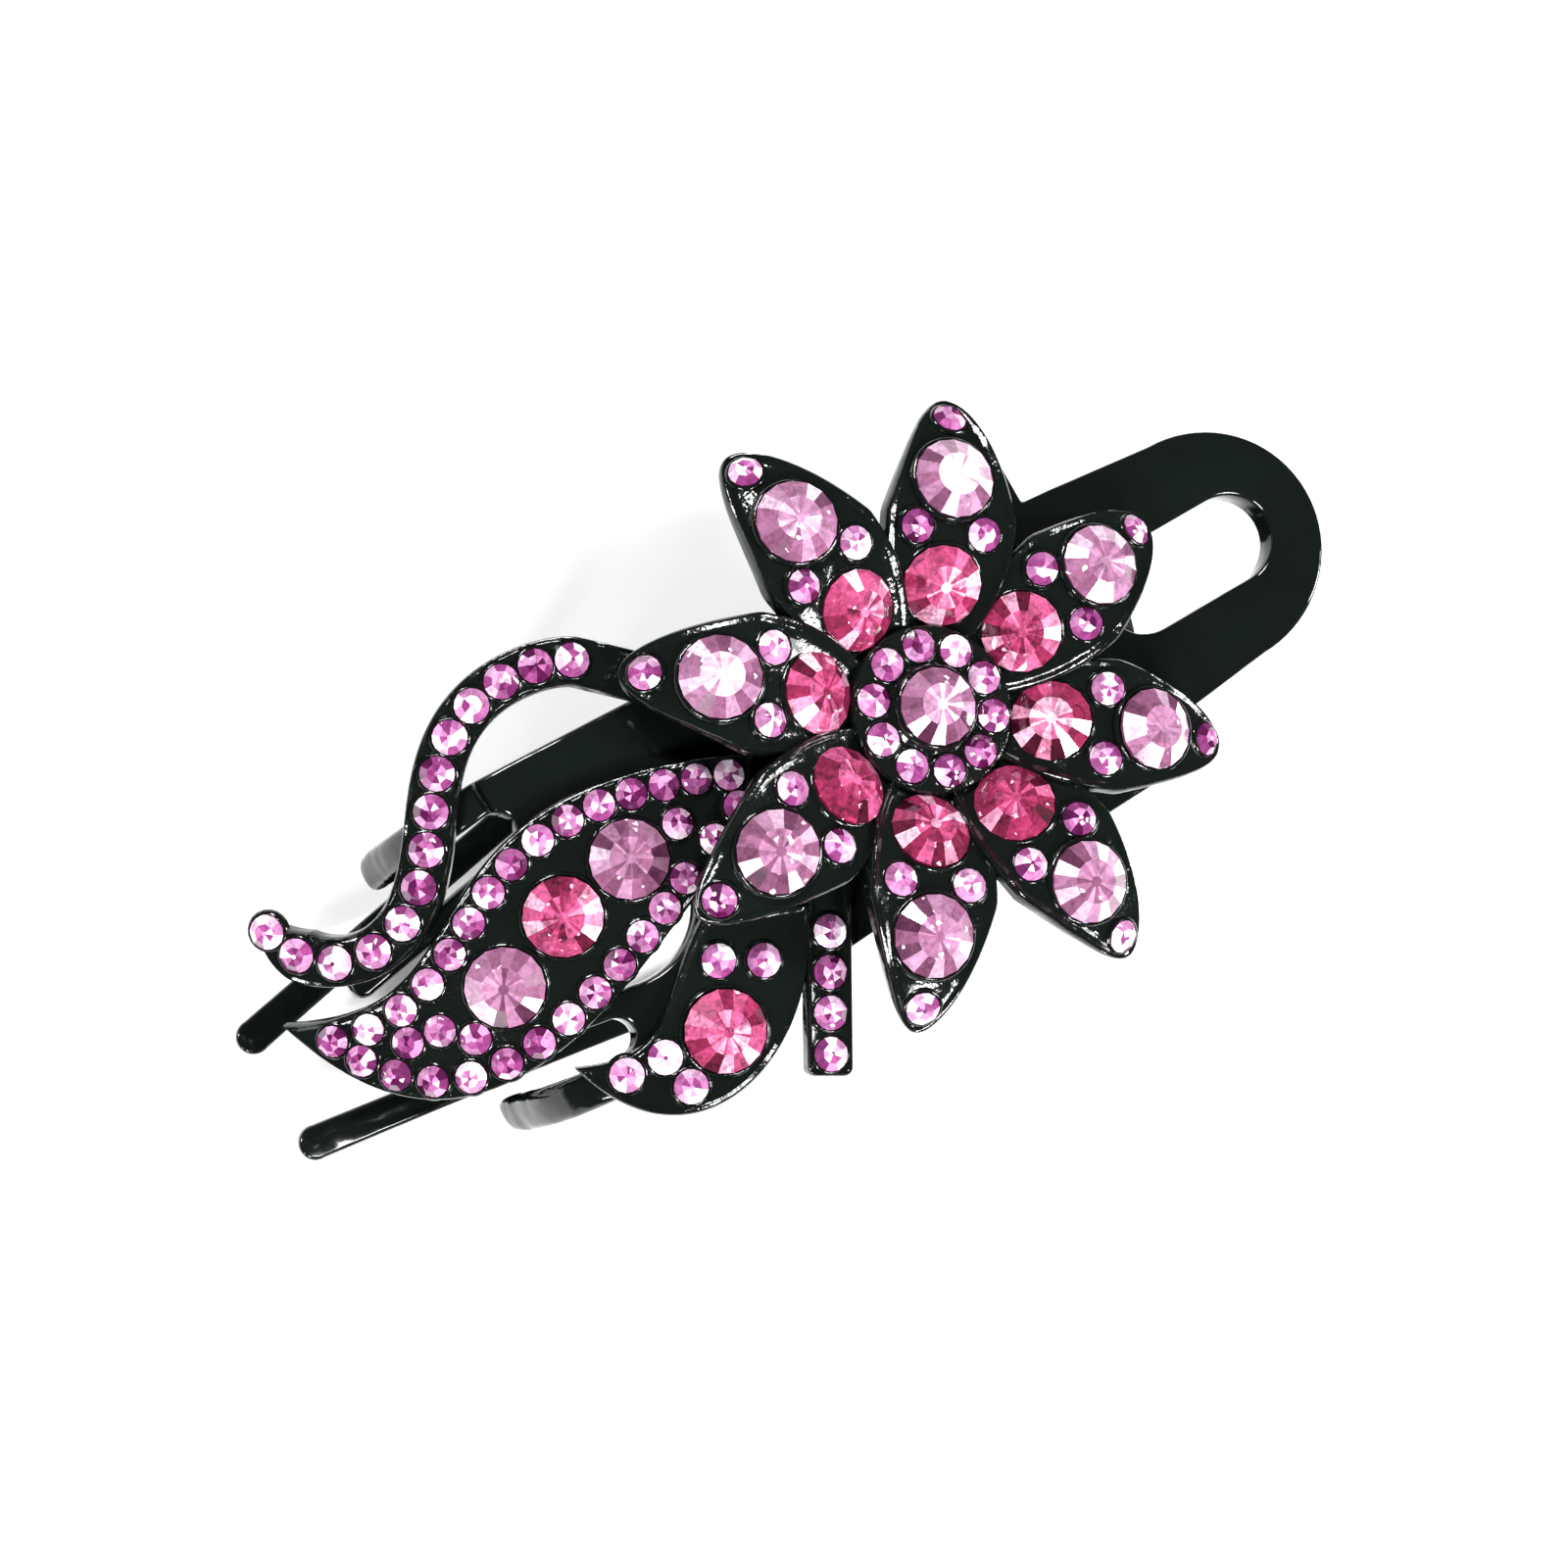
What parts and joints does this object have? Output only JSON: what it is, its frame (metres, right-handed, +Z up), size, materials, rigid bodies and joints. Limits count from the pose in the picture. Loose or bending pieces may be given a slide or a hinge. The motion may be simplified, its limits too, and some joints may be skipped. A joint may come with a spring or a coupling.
{
  "type": "hair clip",
  "caption": "Long sprung two-jaw hair clip, black plastic, with a stone-set flower, leaf, bud and tendril on its arched upper jaw and a finger loop.",
  "frame": {"origin": "middle of the clip's length and width, on the surface that it rests on", "axes": "+X along the clip towards the finger loop, +Y across it, +Z up through the flower"},
  "size_m": [0.12, 0.0624, 0.0375],
  "materials": {
    "black_plastic": "glossy near-black injection-moulded plastic",
    "pin_steel": "bright drawn steel pin",
    "spring_steel": "drawn spring wire",
    "rose_stone": "faceted, foil-backed rose stone",
    "light_pink_stone": "faceted, foil-backed light pink stone",
    "small_pink_stone": "small faceted, foil-backed pink stones"
  },
  "bodies": {
    "lower": {"lower_jaw": "black_plastic", "torsion_spring": "spring_steel"},
    "upper": {"upper_jaw": "black_plastic", "hinge_pin": "pin_steel", "flower_base": "black_plastic", "leaf_base": "black_plastic", "tendril_base": "black_plastic", "bud_base": "black_plastic", "stem_base": "black_plastic", "flower_centre_stone": "light_pink_stone", "flower_ring_stones": "small_pink_stone", "petal_rose_stone_1": "rose_stone", "petal_rose_stone_2": "rose_stone", "petal_rose_stone_3": "rose_stone", "petal_rose_stone_4": "rose_stone", "petal_rose_stone_5": "rose_stone", "petal_rose_stone_6": "rose_stone", "petal_rose_stone_7": "rose_stone", "petal_rose_stone_8": "rose_stone", "petal_light_stone_1": "light_pink_stone", "petal_light_stone_2": "light_pink_stone", "petal_light_stone_3": "light_pink_stone", "petal_light_stone_4": "light_pink_stone", "petal_light_stone_5": "light_pink_stone", "petal_light_stone_6": "light_pink_stone", "petal_light_stone_7": "light_pink_stone", "petal_light_stone_8": "light_pink_stone", "petal_shoulder_stones": "small_pink_stone", "petal_tip_stones": "small_pink_stone", "leaf_light_stone_near": "light_pink_stone", "leaf_rose_stone": "rose_stone", "leaf_light_stone_far": "light_pink_stone", "leaf_upper_row": "small_pink_stone", "leaf_lower_row": "small_pink_stone", "leaf_middle_row": "small_pink_stone", "leaf_root_stones": "small_pink_stone", "tendril_stones": "small_pink_stone", "bud_rose_stone": "rose_stone", "bud_small_stones": "small_pink_stone", "stem_stones": "small_pink_stone"}
  },
  "joints": [
    {"name": "jaw_hinge", "type": "hinge", "parent": "lower", "child": "upper", "pos_m": [0.028, -0.0005, 0.018], "axis": [0, 1, 0], "range_deg": [0, 36], "stiffness_Nm_per_rad": 0.12, "springref_deg": -91.67, "deforming": ["torsion_spring"]}
  ]
}
